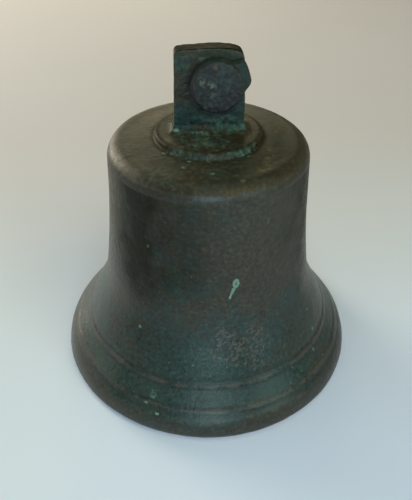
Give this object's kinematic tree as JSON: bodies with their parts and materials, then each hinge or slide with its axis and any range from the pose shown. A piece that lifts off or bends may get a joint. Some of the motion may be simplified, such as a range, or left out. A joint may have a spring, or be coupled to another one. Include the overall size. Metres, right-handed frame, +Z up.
{
  "type": "sanctus bell",
  "caption": "Small bronze bell with a flared mouth and moulded lip, hung by a bolt through a flat crown lug, with a swinging clapper inside.",
  "frame": {"origin": "centre of the mouth, in the plane of the lip that the bell stands on", "axes": "+Z up the bell's axis to the lug, the lug's bolt hole along Y with the bolt head on the -Y side, +X to the right seen from the bolt head's side"},
  "size_m": [0.127, 0.127, 0.1316],
  "materials": {
    "bronze": "old cast bell bronze, dark brown to black with green verdigris",
    "bolt_iron": "old hammered iron, blue-black with pale mineral patches and rust",
    "dark_iron": "rusted wrought iron, dark brown"
  },
  "bodies": {
    "bell": {"bell_body": "bronze", "crown_staple": "dark_iron", "staple_nut": "dark_iron", "clapper_pin": "dark_iron", "pin_washer": "dark_iron", "split_pin": "dark_iron"},
    "pivot": {"pivot_bolt": "bolt_iron", "pivot_washer": "bolt_iron", "pivot_nut": "bolt_iron"},
    "clapper": {"clapper_rod": "dark_iron", "clapper_ball": "dark_iron", "ball_nut": "dark_iron"}
  },
  "joints": [
    {"name": "pivot_bolt_turn", "type": "hinge", "parent": "bell", "child": "pivot", "pos_m": [0.0023, 0, 0.1199], "axis": [0, 1, 0], "continuous": true},
    {"name": "clapper_swing", "type": "hinge", "parent": "bell", "child": "clapper", "pos_m": [0, 0, 0.0775], "axis": [0, 1, 0], "range_deg": [-28.8, 28.8]}
  ]
}
